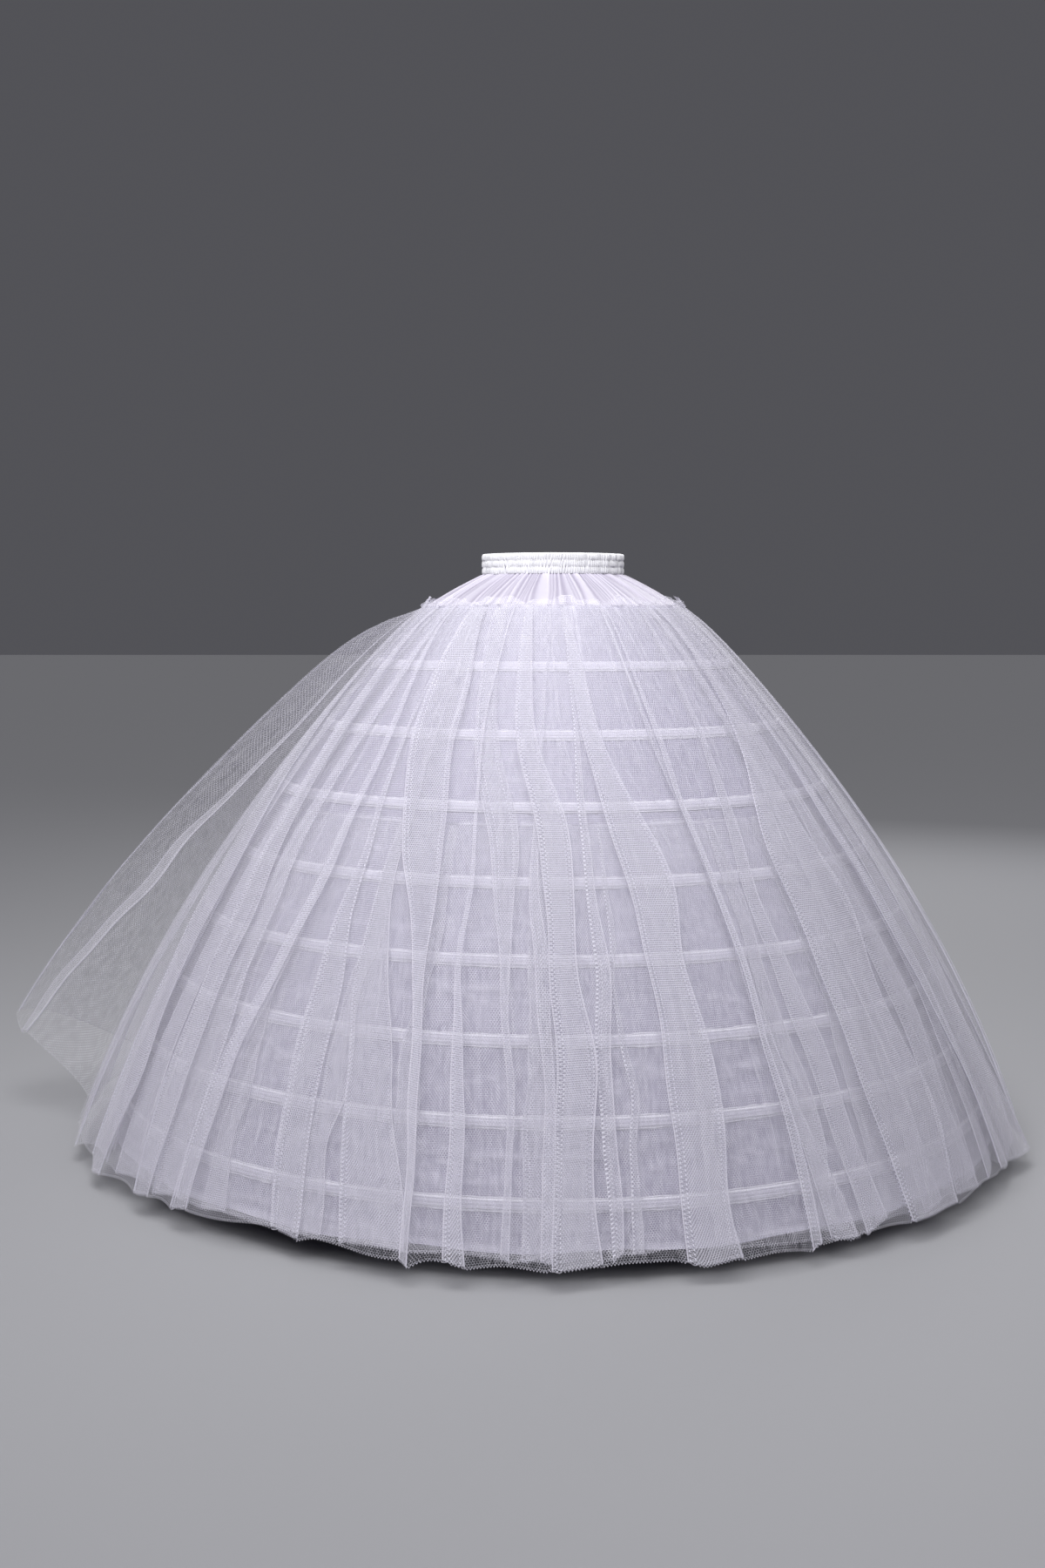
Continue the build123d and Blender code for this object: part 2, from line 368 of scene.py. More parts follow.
# The casing tape is white where its mark is high and lilac-grey where it is low: painted highlight on its edges
# and slopes, painted shade along its stitch lines and down its middle.
twill_tape = woven("cotton_twill_casing_tape", "#C3BFD2", "#CDC9DB", 0.75, 0.1, 0.0014)
casing_tape = second_colour(twill_tape, "painted_tape_shading", "#F1EFF8")
band_cotton = woven("white_cotton_waistband", "#F4F4FA", "#FEFEFF", 0.8, 0.1, 0.0016, 0.02)[0]
print("woven cloths", lining_taffeta.name, yoke_taffeta.name, casing_tape.name, band_cotton.name)

# %% [markdown]
# ## Lining
# Six flared gores are sewn edge to edge. Each hoop holds the cloth out, so between two hoops it runs a
# little straighter than the bell and is dragged into faint wrinkles. The seam is a shallow valley with a
# raised lip, and the hem is rolled. All of these are offsets from the bell, so each panel is one grid whose
# radius is worked out.

# %% Wrinkles between hoops
rng = np.random.default_rng(7)
HEM_SLACK = 0.03  # below the last hoop the cloth is free, as if one more hoop held it under the hem
DRAG_LINES = 10


def between_hoops(depth):
    """0 at each hoop, 1 half way between two."""
    stops = np.array([HIP_DEPTH, *HOOP_DEPTHS, HEM_DEPTH + HEM_SLACK])
    share = np.interp(depth, stops, np.arange(len(stops)))
    return np.sin(np.pi * share) ** 2


def drag_lines(bearing, depth, draws):
    """Short wrinkles that run nearly level, as sums of a few slanting waves cut off by slow ones."""
    total = 0
    for level, slant, size, phase in draws:
        wave = np.sin(2 * np.pi * (depth * level + bearing * slant / 360) + phase)
        patches = np.sin(np.radians(bearing) * size + phase * 3) * np.sin(depth * 23 + phase * 5)
        window = np.clip(patches, 0, 1)
        total = total + (1 - np.abs(wave)) ** 6 * window
    return total


wrinkle_draws = []
for _ in range(DRAG_LINES):
    level, slant = float(rng.uniform(8, 20)), float(rng.uniform(-16, 16))
    wrinkle_draws.append((level, slant, int(rng.integers(5, 12)), float(rng.uniform(0, 6.28))))
print("first wrinkle", [round(value, 2) for value in wrinkle_draws[0]])

# %% Lining gores
GORE_ROWS = 154
GORE_COLUMNS = 80
SEAM_BEARING = 7.0
HOOP_PULL = 0.0035
SEAM_VALLEY = 0.0012
DRAG_RISE = 0.0040
TUCK_RISE = 0.0007
HEM_ROLL = 0.0008
HEM_WAVE = 0.0030
for gore in range(GORES):
    start = SEAM_BEARING + gore * 360 / GORES
    depth = np.linspace(HIP_DEPTH, HEM_DEPTH, GORE_ROWS)[:, None]
    bearing = start + np.linspace(0, 360 / GORES, GORE_COLUMNS)[None, :]
    slack = between_hoops(depth)
    near_seam = np.minimum(bearing - start, start + 360 / GORES - bearing) * np.pi / 180 * bell_radius(depth)
    inward = HOOP_PULL * slack + SEAM_VALLEY * np.exp(-((near_seam / 0.004) ** 2))
    lower = 0.35 + 0.65 * np.clip((depth - 0.35) / 0.3, 0, 1)
    drags = slack * drag_lines(bearing, depth, wrinkle_draws) * lower
    inward = inward - DRAG_RISE * drags
    tucks = np.sin(np.radians(bearing) * 150 + 2 * np.sin(np.radians(bearing) * 31))
    inward = inward + TUCK_RISE * tucks * slack * np.exp(-((slack - 0.25) ** 2) / 0.05)
    lean = bell_lean(depth)
    radius = bell_radius(depth) - np.maximum(inward, -0.0001) * np.cos(lean)
    roll = HEM_ROLL * np.exp(-(((HEM_DEPTH - 0.006 - depth) / 0.004) ** 2))
    points = around(bearing, radius - roll, depth)
    near_hem = np.clip((depth - (HEM_DEPTH - 0.04)) / 0.04, 0, 1)
    points[..., 2] += HEM_WAVE * near_hem * np.sin(np.radians(bearing) * 17)
    across = np.broadcast_to(np.radians(bearing) * HEM_RADIUS, points.shape[:2])
    up = np.broadcast_to((HEM_DEPTH - depth) * 1.2, points.shape[:2])
    seam_lip = 0.8 * np.exp(-(((near_seam - 0.003) / 0.002) ** 2))
    rolled = 0.6 * np.exp(-(((HEM_DEPTH - 0.004 - depth) / 0.005) ** 2))
    # The lighter second colour on the drag wrinkles, tucks, the seam's lip and the rolled hem is a painted
    # highlight where they catch the light.
    wrinkle_highlight = np.clip(0.85 * drags + 0.15 * tucks * slack + seam_lip + rolled, 0, 1)
    panel = cloth_mesh(f"lining_panel_{gore + 1}", points, across, up, {"wrinkle_highlight": wrinkle_highlight}, lining_taffeta)
    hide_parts(f"lining_gore_{gore + 1}")
    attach(panel, "root")
print("lining panel area", round(cloth_area(panel), 3))

# %% [markdown]
# ## Hoop casings
# Each casing is a tape sewn down along both edges with the hoop between, so it stands up as a flat tube
# with two flanges. Its stitching puckers the flanges slightly. A bevelled curve could make the tube but not
# the puckers, so one cross-section is repeated round the bell. Its three rows of values run from an edge to
# the middle.

# %% A casing's cross-section
CASING_HALF = 0.0100
CASING_STAND = 0.0030
CASING_CLEARANCE = 0.0002  # keeps the tape just outside the hoop that it covers
half_along = np.array([1, 0.95, 0.86, 0.80, 0.74, 0.66, 0.58, 0.46, 0.38, 0.30, 0.22])
half_out = np.array([0.08, 0.30, 0.34, 0.14, 0.36, 0.74, 0.94, 1.00, 0.99, 0.86, 0.99])
# One value for each step of the cross-section: high gives the painted highlight on the tape's edges and slopes,
# low the painted shade along its stitch lines and middle.
half_shading = np.array([0.6, 1.0, 1.0, 0.1, 1.0, 1.0, 0.9, 0.3, 0.1, 0.6, 0.3])
profile_shading = np.concatenate([half_shading, [0.2], half_shading[::-1]])
profile_along = np.concatenate([-half_along, [0], half_along[::-1]]) * CASING_HALF
profile_out = np.concatenate([half_out, [1.02], half_out[::-1]]) * (CASING_STAND + CASING_CLEARANCE)
print("casing is", 2 * CASING_HALF * 1000, "mm wide and stands", CASING_STAND * 1000, "mm off the lining")

# %% Hoop casings
CASING_COLUMNS = 380
STITCH_PUCKER = 0.013  # from one pucker to the next
for hoop in range(HOOPS):
    depth = HOOP_DEPTHS[hoop]
    lean = bell_lean(depth)
    bearing = np.linspace(0, 360, CASING_COLUMNS, endpoint=False)[None, :]
    pucker_count = int(bell_radius(depth) * 2 * np.pi / STITCH_PUCKER)
    jitter = np.sin(np.radians(bearing) * (pucker_count // 3) + hoop) * 1.5
    pucker = np.sin(np.radians(bearing) * pucker_count + jitter)
    flange = np.clip((abs(profile_along[:, None]) - 0.0062) / 0.003, 0, 1)
    along = profile_along[:, None] + 0.0006 * pucker * np.sign(profile_along[:, None]) * flange
    out = profile_out[:, None] + 0.00045 * (pucker + 1) * flange
    radius = bell_radius(depth) + along * np.sin(lean) + out * np.cos(lean)
    level = depth + along * np.cos(lean) - out * np.sin(lean)
    points = around(bearing, radius, level)
    across = np.broadcast_to(np.radians(bearing) * bell_radius(depth), points.shape[:2])
    up = np.broadcast_to(along, points.shape[:2])
    painted_tape_shading = np.broadcast_to(profile_shading[:, None], points.shape[:2])
    casing = cloth_mesh(f"casing_{hoop + 1}", points, across, up, {"painted_tape_shading": painted_tape_shading}, casing_tape, closed=True)
    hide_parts(f"hoop_casing_{hoop + 1}")
    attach(casing, "root")

# %% [markdown]
# ## Tulle layers
# A gathered sheet of net hangs from a seam. Some of its fullness lies in knife folds: the sheet runs
# forward, turns back under itself and runs forward again, so three layers lie over each other and the fold
# reads as a paler stripe with a bright edge. Each fold is given by the bearing of its left edge and its
# width, both at six depths from the seam to the hem. The sheet between two folds is stretched evenly from
# one to the next.

# %% A smooth line down a fold
STATION = 0.2  # from one of the six depths to the next, as a share of the drop
LAST_STRETCH = 4


def smooth_line(values, share):
    """A smooth curve through values at the six depths."""
    values = np.array(values, float)
    slopes = np.gradient(values, STATION)
    cell = np.clip((share / STATION).astype(int), 0, LAST_STRETCH)
    t = share / STATION - cell
    low, high, m0, m1 = values[cell], values[cell + 1], slopes[cell] * STATION, slopes[cell + 1] * STATION
    return (
        (2 * t**3 - 3 * t**2 + 1) * low
        + (t**3 - 2 * t**2 + t) * m0
        + (-2 * t**3 + 3 * t**2) * high
        + (t**3 - t**2) * m1
    )


print("half way down a fold", smooth_line([0, 1, 2, 2, 1, 1], np.array([0.5])).round(2))

# %% Folds that fell by chance


def loose_folds(low, high, gap, width, seed, top_share):
    """Folds between two bearings. gap and width are ranges in degrees at the hem."""
    draw = np.random.default_rng(seed)
    folds = []
    bearing = low
    while bearing < high - width[1]:
        wide = draw.uniform(*width)
        drift = np.cumsum(draw.normal(0, 0.35, 6))
        left = bearing + drift - drift[-1]
        shape = np.array([top_share, top_share + 0.15, 0.6, 0.8, 0.9, 1.0]) * draw.uniform(0.8, 1.15, 6)
        folds.append((list(left), list(wide * shape), int(draw.choice([-1, 1]))))
        bearing += wide + draw.uniform(*gap)
    return folds


print("a run of loose folds has", len(loose_folds(0, 60, (2, 6), (3, 8), 1, 0.4)))

# %% The columns of a folded sheet
EDGE_WIDTH = 0.0028  # of the bright line where a fold turns over
LAP_FULLNESS = 0.6
NARROWEST_FOLD = 0.05  # degrees
LAYER_DROP = 0.0022  # each layer of a fold hangs this much higher than the one behind it


def fold_columns(folds, share, girth, plain_step, fold_step, seam, draw):
    """Every column of the sheet: its bearings down its length, then five things about it.

    Those are its level in a fold, whether it is a crease, its width in degrees, how far its hem hangs, and how
    full it is. folds holds (left edge, width, hand), and hand says which side of a fold lies on top.
    """
    lines = []
    for left, width, hand in folds:
        lag = draw.uniform(0, 6.28, 3)
        wobble = 0.30 * np.sin(15 * share + lag[0]) + 0.16 * np.sin(33 * share + lag[1])
        start = smooth_line(left, share) + wobble * np.sin(np.pi * share)
        breathing = 1 + 0.10 * np.sin(19 * share + lag[2])
        wide = np.maximum(smooth_line(width, share) * breathing, NARROWEST_FOLD)
        lines.append((start, start + wide, hand, draw.uniform(0.000, 0.009), draw.uniform(-0.005, 0.005)))
    lines.sort(key=lambda line: line[0][-1])
    lines.append((np.full_like(share, seam + 360), None, 1, 0.0, 0.0))
    columns = []
    previous, level, hang = np.full_like(share, seam), 0.0, 0.0
    for start, stop, hand, drop, tilt in lines:
        gap = float(np.max((start - previous) * girth))
        count = max(int(gap / plain_step), 3)
        for f in np.arange(count) / count:
            low = hang + (drop - tilt - hang) * f - 0.005 * math.sin(math.pi * f)
            settling = level * max(0, 1 - 2.2 * f)
            columns.append((previous + (start - previous) * f, settling, 0.0, gap / count, low, 0.0))
        if stop is None:
            columns.append((start, 0.0, 0.0, 0.0, 0.0, 0.0))
            break
        width = stop - start
        edge = np.minimum(math.degrees(EDGE_WIDTH / HEM_RADIUS) * (1.6 - 0.6 * share), 0.25 * width)
        count = max(int(np.max(width * girth) / fold_step), 2)
        inside = [edge + (width - 2 * edge) * f for f in np.arange(1, count) / count]
        steps = [0 * edge, edge, *inside, width - edge, width]
        order = (0, 1, 2) if hand > 0 else (2, 1, 0)
        for lap, level in enumerate(order):
            for i, step in enumerate(steps):
                place = step if lap != 1 else width - step
                turned = (lap < 2 and i == len(steps) - 1) or (lap > 0 and i == 0)
                wide = float(np.max((step - steps[i - 1]) * girth)) if i else 0.0
                low = drop + tilt * (2 * float(place[-1] / width[-1]) - 1) - LAYER_DROP * level
                columns.append((start + place, level, float(turned), wide, low, LAP_FULLNESS))
        previous, hang = stop, drop + tilt
    bearings, *rest = zip(*columns)
    return np.array(bearings).T, *(np.array(values) for values in rest)


print("a fold's bright edge is", EDGE_WIDTH * 1000, "mm")

# %% [markdown]
# Above the gathering stitches the raw edge stands up as a small frill, called the header.

# %% The header of a gathered sheet
HEADER_ROWS = 6
SEAM_LEAN = 0.75  # the bell narrows by about this much for each step up


def add_header(points, across, up, marks, height, turn, draw, stitched):
    """Rows added above the sheet's first one, waved and flared. stitched is how strongly the seam shows."""
    rows = HEADER_ROWS
    lift = np.linspace(1, 0, rows, endpoint=False)[:, None]
    lag = draw.uniform(0, 6, 4)
    wavy = 0.72 + 0.20 * np.sin(turn * 13 + lag[0]) + 0.14 * np.sin(turn * 31 + lag[1])
    wavy = wavy + 0.06 * np.sin(turn * 67)
    flare = 0.0022 * (1 + np.sin(turn * 47 + 3 * np.sin(turn * 11 + lag[2])))
    flare = flare + 0.0012 * np.sin(turn * 23 + lag[3])
    first = points[0]
    outward = first * [1, 1, 0] / np.linalg.norm(first[:, :2], axis=1)[:, None]
    rise = (height * wavy)[None, :] * lift
    head = first[None] + np.array([0, 0, 1.0]) * (rise * SEAM_LEAN)[..., None]
    head = head + outward[None] * (0.0035 * lift + lift**1.5 * flare[None] - rise * SEAM_LEAN)[..., None]
    crown = {"crease": np.where(lift > 0.95, 0.6, np.where(lift < 0.6, stitched, 0.0)), "gather": 1.8}
    points = np.concatenate([head, points])
    across = np.concatenate([np.broadcast_to(across[0], rise.shape), across])
    up = np.concatenate([up[0][None] + rise, up])
    joined = {}
    for name, values in marks.items():
        low = np.broadcast_to(values, (len(points) - rows, points.shape[1]))
        joined[name] = np.concatenate([np.broadcast_to(crown[name], rise.shape), low])
    return points, across, up, joined


print("header rows", HEADER_ROWS)

# %% [markdown]
# The sheet itself: its columns come from the folds, it stands off the lining more towards the hem, soft
# waves run down it, and tight gathers crowd its top. The waves are sums of sines in the bearing and are the
# same in every layer, so the layers ride over the same hills.

# %% How far the net stands off the bell
SOFT_WAVES = ((7, 2.1, 0.6), (11, 5.0, -1.1), (19, 0.7, 1.3), (31, 3.6, -0.5), (43, 1.5, 0.9))
MIDDLE_WAVE = 11  # waves that are more than this many round the skirt are lower
FOLD_GAP = 0.0016
PUFF_RUN = 0.035  # the share of the drop in which the net has puffed out below its seam
TIGHT_GATHER = 0.0011
FINE_GATHER = 0.0016


def stand_off(turn, share, level, stand, wave, gathers):
    """A puff below the seam, soft waves, gathers and the folds' thickness. stand is at seam, puff, at hem."""
    soft = 0
    for cycles, lag, swing in SOFT_WAVES:
        soft = soft + np.sin(turn * cycles + lag + swing * share) / (cycles / MIDDLE_WAVE) ** 0.6
    tight = np.sin(turn * gathers + 2.0 * np.sin(turn * 13) + 1.2 * np.sin(turn * 29))
    fine = np.sin(turn * gathers * 0.37 + 2.5 * np.sin(turn * 17 + 1))
    at_seam, puff, at_hem = stand
    off = at_seam + puff * (1 - np.exp(-share / PUFF_RUN)) + (at_hem - puff - at_seam) * share**1.2
    off = off + wave * share**0.7 * soft / 2.2
    off = off + TIGHT_GATHER * (tight + 1) * np.exp(-share / 0.05)
    off = off + FINE_GATHER * fine * np.exp(-share / 0.22)
    return off + level[None, :] * FOLD_GAP * (0.35 + 0.65 * share)


print("soft waves round the skirt", [cycles for cycles, _, _ in SOFT_WAVES])

# %% The hem and its corners
RAGGED = 0.0020


def ragged_hem(turn, share, hang, draw):
    """How much lower the net hangs than its even hem, mostly near the hem itself."""
    ragged = 0
    for cycles in (5, 9, 14, 23, 37):
        ragged = ragged + np.sin(turn * cycles + draw.uniform(0, 6.28)) / 2.5
    return share**4 * (RAGGED * ragged[-1:] + hang)


def pull_corners(bearing, share, radius, depth, corners):
    """Throws parts of the hem out and down. A corner is bearing, half width, out, down and late growth."""
    for middle, half_width, out, down, growth in corners:
        near = np.clip(1 - np.abs(bearing[-1] - middle) / half_width, 0, 1)
        near = near * near * (3 - 2 * near) if growth < 2 else near
        radius = radius + out * near * share**growth
        depth = depth + down * near * share**6
    return radius, depth


print("the hem is ragged by", RAGGED * 1000, "mm")

# %% One tulle layer
EVENED = 0.75
LONGER = 1.22  # the net is cut this much longer than the drop, as it runs down a slope
SIDE_BEARING = 52.0  # the net was pushed together on both sides of the front
SIDE_SPREAD = 19.0


def tulle_layer(
    name, folds, top, hem, stand, rows, seed, header, wave, gathers=150, throw=None, corners=(),
    plain_step=0.52, fold_step=0.72, crowd=1.7, side_crowd=1.1, stitched=0.0, seam=-180.0,
):
    draw = np.random.default_rng(seed)
    share = np.linspace(0, 1, rows) ** 0.92
    girth = bell_radius(top + (hem - top) * share) / HEM_RADIUS
    columns = fold_columns(folds, share, girth, plain_step, fold_step, seam, draw)
    bearing, level, crease, span, hang, fullness = columns
    share = share[:, None]
    turn = np.radians(bearing)
    off = stand_off(turn, share, level, stand, wave, gathers)
    depth = top + (hem - top) * share + np.zeros_like(bearing)
    depth = depth + ragged_hem(turn, share, hang, draw)
    radius, depth = pull_corners(bearing, share, bell_radius(depth) + off, depth, corners)
    if throw is not None:
        radius, depth = throw(bearing, share, radius, depth)
    points = around(bearing, radius, depth)
    up = (hem - top) * LONGER * (1 - share) + np.zeros_like(bearing)
    across = np.broadcast_to(np.radians(np.cumsum(span) - span) * HEM_RADIUS, up.shape)
    gather = 1.8 * np.exp(-share / 0.06) + crowd * np.exp(-share / 0.33) + fullness
    gather = gather + side_crowd * np.exp(-(((np.abs(bearing) - SIDE_BEARING) / SIDE_SPREAD) ** 2))
    marks = {"crease": crease[None, :] * np.clip(share * 3, 0.3, 1), "gather": gather}
    points, across, up, marks = add_header(points, across, up, marks, header, turn[0], draw, stitched)
    piece = cloth_mesh(name, points, across, up, marks, overlay_tulle, evened=EVENED)
    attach(piece, "root")
    print(name, "columns", bearing.shape[1], "faces", len(piece.data.polygons))
    print(name, "area", round(cloth_area(piece), 2), "cloth width", round(float(across[0, -1]), 2))
    return piece


print("net is evened by", EVENED)

# %% [markdown]
# ### Flounce
# The lower tulle is gathered on just below the third hoop, with its own small header. Its folds were never
# arranged, so they are drawn by chance.

# %% Flounce
UNDER_TAPE = 0.018  # the seam is sewn clear of the casing, so that its small frill shows below the tape
flounce_folds = loose_folds(-175, 175, (4.0, 14.0), (0.8, 4.5), 21, top_share=0.5)
flounce_top = -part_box("tulle_flounce")[1].z + UNDER_TAPE
flounce = tulle_layer(
    "flounce", flounce_folds, top=flounce_top, hem=0.979, stand=(0.0012, 0.003, 0.009), rows=36, seed=5,
    header=0.013, wave=0.003, crowd=0.4, plain_step=0.54, fold_step=0.6, side_crowd=0.5, stitched=0.9,
)
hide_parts("tulle_flounce")

# %% [markdown]
# ### Inner overlay
# The upper tulle's under layer has its own folds, which lie between those of the layer above. In front they
# are placed one by one, and at the back they fall by chance.

# %% Inner overlay's folds and corners
inner_folds = [
    ([-37, -36, -34, -33.6, -33.5, -31.5], [0.8, 0.8, 1.2, 3.6, 4.6, 3.4], 1),
    ([-29, -28, -28.5, -27.6, -25.0, -22.8], [0.4, 0.8, 2.4, 4.6, 6.8, 6.8], -1),
    ([-24, -18.5, -11.5, -7.5, -6.0, -6.0], [4.0, 5.5, 4.5, 1.2, 0.8, 0.8], 1),
    ([-2, -3.5, -4.6, -3.0, -2.0, -2.1], [0.4, 0.6, 1.2, 1.8, 1.1, 1.2], 1),
    ([3, 3.4, 3.8, 4.2, 4.4, 5.0], [0.8, 1.0, 1.4, 1.8, 1.7, 1.0], -1),
    ([18, 20, 22.5, 24.6, 26.4, 28.6], [1.0, 1.2, 1.4, 1.2, 1.6, 3.0], 1),
    ([36, 33, 30, 29.5, 31, 33], [1.5, 1.5, 2.0, 2.6, 3.0, 3.0], -1),
    *loose_folds(-170, -41, (1.5, 5.5), (2.5, 8.0), 31, top_share=0.45),
    *loose_folds(42, 172, (1.5, 5.5), (2.5, 8.0), 32, top_share=0.45),
]
INNER_CORNERS = [
    (70, 9, 0.046, 0.014, 3),
    (-72, 4, 0.022, 0.012, 3),
    (31, 4, 0.004, 0.010, 3),
    (-88, 34, 0.034, 0.0, 1),
]
print("inner folds", len(inner_folds), "corners", len(INNER_CORNERS))

# %% Inner overlay
inner_top = -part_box("tulle_overlay_inner")[1].z
inner = tulle_layer(
    "overlay_inner", inner_folds, top=inner_top, hem=0.981, stand=(0.0012, 0.010, 0.022), rows=60, seed=8,
    header=0.010, wave=0.007, corners=INNER_CORNERS,
)
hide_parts("tulle_overlay_inner")

# %% [markdown]
# ### Outer overlay and its flute
# The top layer carries the long folds that are seen first. On the wearer's right a whole flute of it is
# thrown out, away from the bell: the net there is a single sheet, bent into a deep U that rises at the hem.

# %% The thrown flute
FLUTE_BEARING = -98.0
FLUTE_HALF_ANGLE = 15.0
FLUTE_TOP_REACH = 0.070
FLUTE_HEM_REACH = 0.205
FLUTE_TOP_RUN = 0.035
FLUTE_HEM_LIFT = 0.130


def throw_flute(bearing, share, radius, depth):
    """Adds one smooth U to the sheet's radius, and lifts it more and more towards the hem."""
    off_ridge = np.abs((bearing - FLUTE_BEARING + 180) % 360 - 180) / FLUTE_HALF_ANGLE
    ridge = np.cos(np.pi / 2 * np.minimum(off_ridge, 1)) ** 2
    reach = FLUTE_TOP_REACH * (1 - np.exp(-share / FLUTE_TOP_RUN))
    reach = reach + (FLUTE_HEM_REACH - FLUTE_TOP_REACH) * share
    return radius + ridge * reach, depth - ridge * FLUTE_HEM_LIFT * share**1.5


print("flute is", 2 * FLUTE_HALF_ANGLE, "degrees wide and lifts its hem by", FLUTE_HEM_LIFT)

# %% Outer overlay's folds and corners
outer_folds = [
    ([-47, -40.0, -38.6, -41, -44, -45], [1.4, 1.4, 1.5, 1.8, 2.4, 3.0], 1),
    ([-36, -33.5, -25.6, -18.8, -16.2, -15.6], [7.0, 12.0, 6.8, 1.8, 1.0, 0.8], 1),
    ([-17, -16, -13.8, -12.9, -12.0, -11.4], [0.5, 0.5, 0.5, 0.8, 1.6, 2.1], 1),
    ([-12, -9.0, -3.2, -1.0, -0.8, -1.0], [3.0, 4.6, 4.6, 3.9, 4.4, 4.6], -1),
    ([2, 5.0, 8.6, 11.8, 11.8, 12.2], [2.5, 4.0, 6.6, 5.4, 5.4, 5.5], 1),
    ([20, 21.0, 22.4, 24.0, 25.0, 25.6], [0.8, 1.2, 1.0, 1.0, 1.2, 1.4], 1),
    ([46, 43.0, 35.8, 36.5, 36.8, 38.8], [2.0, 4.0, 11.0, 10.5, 10.0, 9.0], 1),
    ([56, 55.5, 54, 55, 57, 59], [1.0, 1.5, 2.6, 3.2, 3.6, 4.0], 1),
    ([-60, -58.5, -56, -54, -53, -52], [3.0, 4.0, 5.0, 5.0, 4.0, 3.0], 1),
    ([-78, -76, -71, -68, -66, -66], [3.0, 4.0, 6.0, 6.5, 7.0, 6.0], 1),
    ([-99.6, -99.2, -98.9, -98.7, -98.5, -98.4], [0.4, 0.5, 0.6, 0.7, 0.7, 0.7], 1),
    ([-87, -88, -90, -91.8, -93.2, -94.2], [0.4, 0.6, 1.0, 1.1, 1.0, 0.8], -1),
    *loose_folds(-172, -116, (2, 6), (2.5, 8.0), 41, top_share=0.45),
    *loose_folds(65, 172, (2, 6), (2.5, 8.0), 42, top_share=0.45),
]
OUTER_CORNERS = [
    (-80, 3, 0.016, 0.008, 3),
    (-63, 3, 0.010, 0.012, 3),
    (62, 4, 0.012, 0.008, 3),
    (14, 3, 0.004, 0.010, 3),
    (-74, 22, 0.016, 0.0, 1),
]
print("outer folds", len(outer_folds), "corners", len(OUTER_CORNERS))

# %% Outer overlay
outer = tulle_layer(
    "overlay_outer", outer_folds, top=HIP_DEPTH + 0.002, hem=0.983, stand=(0.003, 0.017, 0.036), rows=62,
    seed=13, header=0.026, wave=0.010, crowd=2.1, corners=OUTER_CORNERS, throw=throw_flute,
)
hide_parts("tulle_overlay_outer")

# %% [markdown]
# ## Yoke
# The yoke is a strip of taffeta gathered into the waistband. Its gathers are sharp under the band and
# spread and soften on the way down to the seam that carries the tulle. Cloth gathered on a real thread in a
# simulation would need a much finer grid, so the gathers are waves whose spacing wanders round the waist.

# %% Yoke
YOKE_COLUMNS = 1050
YOKE_ROWS = 26
YOKE_TOP = WAIST_BOTTOM - 0.006  # the gathered edge is caught inside the waistband
YOKE_HEM = HIP_DEPTH + 0.002
YOKE_TUCK_IN = 0.0022
GATHERS_ROUND = 92
GATHER_RISE = 0.0062
turn = np.linspace(0, 2 * np.pi, YOKE_COLUMNS, endpoint=False)[None, :]
drop = np.linspace(0, 1, YOKE_ROWS)[:, None]
depth = YOKE_TOP + (YOKE_HEM - YOKE_TOP) * drop + np.zeros_like(turn)
funnel = np.clip((depth - WAIST_BOTTOM) / (HIP_DEPTH - WAIST_BOTTOM), 0, 1)
oval_x = WAIST_OUTER.x + (HIP_RADIUS - WAIST_OUTER.x) * funnel
oval_y = WAIST_OUTER.y + (HIP_RADIUS - WAIST_OUTER.y) * funnel
crowd = GATHERS_ROUND / 2 * turn + 1.4 * np.sin(turn * 7 + 1) + 1.1 * np.sin(turn * 17)
crowd = crowd + 0.8 * np.sin(turn * 29 + 2)
pleat = (1 - np.abs(np.sin(crowd))) ** 1.6 * (0.65 + 0.35 * np.sin(turn * 19 + 2))
pleat = pleat + 0.25 * np.sin(crowd * 2.6 + turn * 3)
relief = GATHER_RISE * pleat * (1 - 0.62 * drop) * np.clip(drop * 6 + 0.25, 0, 1)
relief = relief - 0.0026 + 0.005 * np.sin(np.pi * funnel)
sink = np.where(depth < WAIST_BOTTOM, YOKE_TUCK_IN, 0.0)
# ridge is high on a gather and low between gathers, where the cloth's colour turns to a painted shade.
ridge = np.clip(0.25 + pleat * (1.1 - 0.3 * drop) + 0.35 * drop, 0, 1)
lean = turn + 0.02 * np.sin(turn * 23 + 3 * drop) * drop
off = relief - sink
points = np.stack([(oval_x + off) * np.cos(lean), (oval_y + off) * np.sin(lean), -depth], -1)
across = np.broadcast_to(turn * HIP_RADIUS, depth.shape)
up = 0.13 * (1 - drop) + np.zeros_like(turn)
yoke = cloth_mesh("yoke_cloth", points, across, up, {"ridge": ridge}, yoke_taffeta, closed=True)
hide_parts("yoke")
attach(yoke, "root")
print("yoke area", round(cloth_area(yoke), 3))

# %% [markdown]
# ## Waistband
# A strip of cotton is folded over wide elastic, and two rows of stitching run through both. When the
# elastic shrinks, the cotton puckers into three rows of small upright ruches. One cross-section, from the
# inside edge over the top fold and down the outside, is repeated round the oval waist with its bulges
# waved. A bumped band would have a flat outline, and the ruches show most in its outline.

